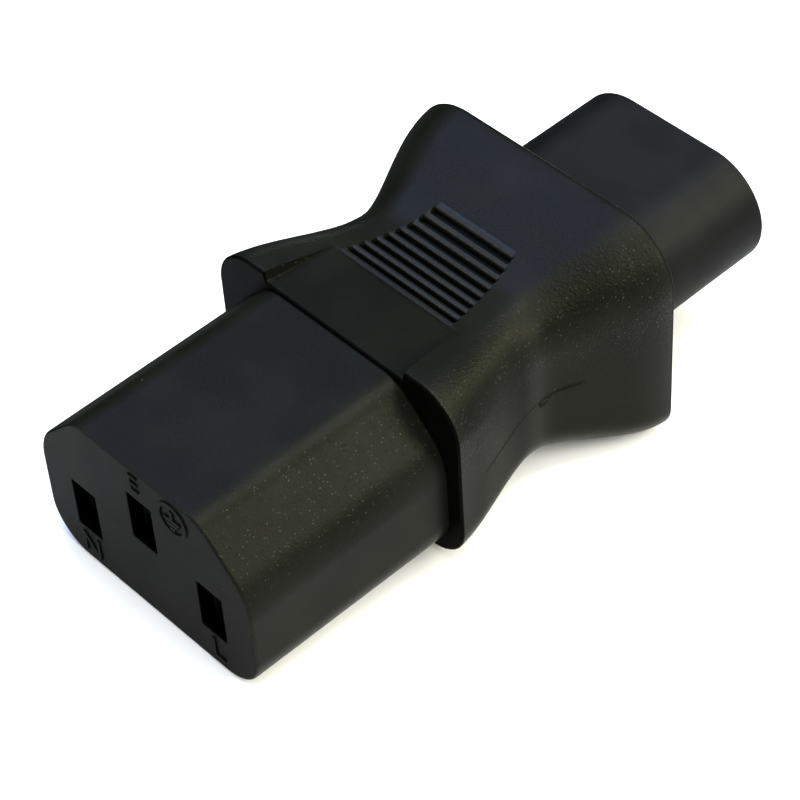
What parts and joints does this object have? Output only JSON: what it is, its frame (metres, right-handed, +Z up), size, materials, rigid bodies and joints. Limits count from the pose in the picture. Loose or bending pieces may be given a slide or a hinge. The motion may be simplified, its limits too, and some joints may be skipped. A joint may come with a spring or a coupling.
{
  "type": "iec power adapter",
  "caption": "Straight mains adapter moulded in black: a figure-8 pin inlet at the rear feeds a C13 socket nose, with a waisted, grooved grip between them.",
  "frame": {"origin": "bottom centre of the bounding box", "axes": "+Y from the socket face to the inlet mouth, +Z up with the earth slot on the upper side, +X to the right when the socket face is seen from in front"},
  "size_m": [0.027, 0.0556, 0.0203],
  "materials": {
    "grained_pvc": "fine grain, satin",
    "rigid_black": "smooth, satin",
    "carrier_black": "smooth",
    "contact_brass": "bright",
    "plated_pin": "nickel plated",
    "wire_core": "bare copper",
    "sleeve_brown": "smooth",
    "sleeve_blue": "smooth"
  },
  "bodies": {
    "root": {"overmould": "grained_pvc", "inlet_body": "rigid_black", "socket_carrier": "carrier_black", "socket_cap": "carrier_black", "contact_line": "contact_brass", "contact_neutral": "contact_brass", "contact_earth": "contact_brass", "pin_line": "plated_pin", "pin_neutral": "plated_pin", "lead_line_core": "wire_core", "lead_neutral_core": "wire_core", "lead_line_sleeve": "sleeve_brown", "lead_neutral_sleeve": "sleeve_blue"}
  },
  "joints": []
}
